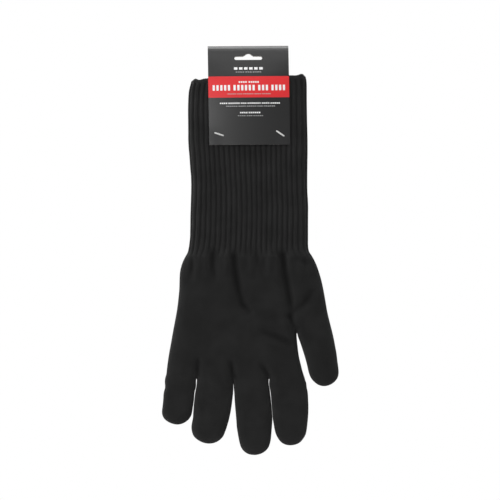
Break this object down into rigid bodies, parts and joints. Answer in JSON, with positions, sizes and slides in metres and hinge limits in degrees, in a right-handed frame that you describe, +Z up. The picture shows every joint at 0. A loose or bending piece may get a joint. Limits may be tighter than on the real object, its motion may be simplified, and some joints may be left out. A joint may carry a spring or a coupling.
{
  "type": "heat resistant glove",
  "caption": "Knitted heat resistant glove with an extra long ribbed cuff and inner liner, hanging fingers down from a folded header card held on by two tag pins.",
  "frame": {"origin": "top centre of the hang slot, half way between the two panels of the header card, where a display peg carries the glove", "axes": "+Z up with the fingers hanging down, +X towards the thumb, +Y out of the back; the printed front panel faces -Y"},
  "size_m": [0.1654, 0.0199, 0.386],
  "materials": {
    "cuff_knit": "matte black rib knit",
    "hand_knit": "matte black fine knit",
    "liner": "matte dark cotton knit",
    "hem": "matte black overlock thread",
    "card": "satin printed charcoal board",
    "pin": "white nylon"
  },
  "bodies": {
    "cuff": {"cuff_ribbed_knit": "cuff_knit", "cuff_liner": "liner", "cuff_overlock_hem": "hem", "header_card": "card", "tag_pin_left": "pin", "tag_pin_right": "pin"},
    "hand": {"hand_knit": "hand_knit", "hand_liner": "liner"},
    "index_base": {"index_base_knit": "hand_knit", "index_base_liner": "liner"},
    "index_mid": {"index_mid_knit": "hand_knit", "index_mid_liner": "liner"},
    "index_tip": {"index_tip_knit": "hand_knit", "index_tip_liner": "liner"},
    "middle_base": {"middle_base_knit": "hand_knit", "middle_base_liner": "liner"},
    "middle_mid": {"middle_mid_knit": "hand_knit", "middle_mid_liner": "liner"},
    "middle_tip": {"middle_tip_knit": "hand_knit", "middle_tip_liner": "liner"},
    "ring_base": {"ring_base_knit": "hand_knit", "ring_base_liner": "liner"},
    "ring_mid": {"ring_mid_knit": "hand_knit", "ring_mid_liner": "liner"},
    "ring_tip": {"ring_tip_knit": "hand_knit", "ring_tip_liner": "liner"},
    "little_base": {"little_base_knit": "hand_knit", "little_base_liner": "liner"},
    "little_mid": {"little_mid_knit": "hand_knit", "little_mid_liner": "liner"},
    "little_tip": {"little_tip_knit": "hand_knit", "little_tip_liner": "liner"},
    "thumb_base": {"thumb_base_knit": "hand_knit", "thumb_base_liner": "liner"},
    "thumb_tip": {"thumb_tip_knit": "hand_knit", "thumb_tip_liner": "liner"}
  },
  "joints": [
    {"name": "wrist_bend", "type": "hinge", "parent": "cuff", "child": "hand", "pos_m": [0, 0, -0.1854], "axis": [-1, 0, 0], "range_deg": [-50, 60]},
    {"name": "index_base_bend", "type": "hinge", "parent": "hand", "child": "index_base", "pos_m": [0.0374, -0.003, -0.3125], "axis": [-0.9982, 0, -0.0593], "range_deg": [-20, 75]},
    {"name": "index_mid_bend", "type": "hinge", "parent": "index_base", "child": "index_mid", "pos_m": [0.03856, -0.003, -0.33197], "axis": [-0.9982, 0, -0.0593], "range_deg": [-5, 85]},
    {"name": "index_tip_bend", "type": "hinge", "parent": "index_mid", "child": "index_tip", "pos_m": [0.03965, -0.003, -0.35043], "axis": [-0.9982, 0, -0.0593], "range_deg": [-5, 45]},
    {"name": "middle_base_bend", "type": "hinge", "parent": "hand", "child": "middle_base", "pos_m": [0.003, -0.003, -0.3125], "axis": [-0.9982, 0, -0.0593], "range_deg": [-20, 75]},
    {"name": "middle_mid_bend", "type": "hinge", "parent": "middle_base", "child": "middle_mid", "pos_m": [0.0043, -0.003, -0.33446], "axis": [-0.9982, 0, -0.0593], "range_deg": [-5, 85]},
    {"name": "middle_tip_bend", "type": "hinge", "parent": "middle_mid", "child": "middle_tip", "pos_m": [0.00561, -0.003, -0.35642], "axis": [-0.9982, 0, -0.0593], "range_deg": [-5, 45]},
    {"name": "ring_base_bend", "type": "hinge", "parent": "hand", "child": "ring_base", "pos_m": [-0.0314, -0.003, -0.3125], "axis": [-0.9917, 0, 0.1288], "range_deg": [-20, 75]},
    {"name": "ring_mid_bend", "type": "hinge", "parent": "ring_base", "child": "ring_mid", "pos_m": [-0.03391, -0.003, -0.33184], "axis": [-0.9917, 0, 0.1288], "range_deg": [-5, 85]},
    {"name": "ring_tip_bend", "type": "hinge", "parent": "ring_mid", "child": "ring_tip", "pos_m": [-0.03629, -0.003, -0.35018], "axis": [-0.9917, 0, 0.1288], "range_deg": [-5, 45]},
    {"name": "little_base_bend", "type": "hinge", "parent": "hand", "child": "little_base", "pos_m": [-0.0644, -0.003, -0.3125], "axis": [-0.9938, 0, 0.1115], "range_deg": [-20, 75]},
    {"name": "little_mid_bend", "type": "hinge", "parent": "little_base", "child": "little_mid", "pos_m": [-0.06585, -0.003, -0.32542], "axis": [-0.9938, 0, 0.1115], "range_deg": [-5, 85]},
    {"name": "little_tip_bend", "type": "hinge", "parent": "little_mid", "child": "little_tip", "pos_m": [-0.06724, -0.003, -0.33784], "axis": [-0.9938, 0, 0.1115], "range_deg": [-5, 30]},
    {"name": "thumb_base_bend", "type": "hinge", "parent": "hand", "child": "thumb_base", "pos_m": [0.0651, -0.003, -0.2723], "axis": [-0.9767, 0, -0.2147], "range_deg": [-15, 50]},
    {"name": "thumb_tip_bend", "type": "hinge", "parent": "thumb_base", "child": "thumb_tip", "pos_m": [0.06918, -0.003, -0.29086], "axis": [-0.9767, 0, -0.2147], "range_deg": [-5, 60]}
  ]
}
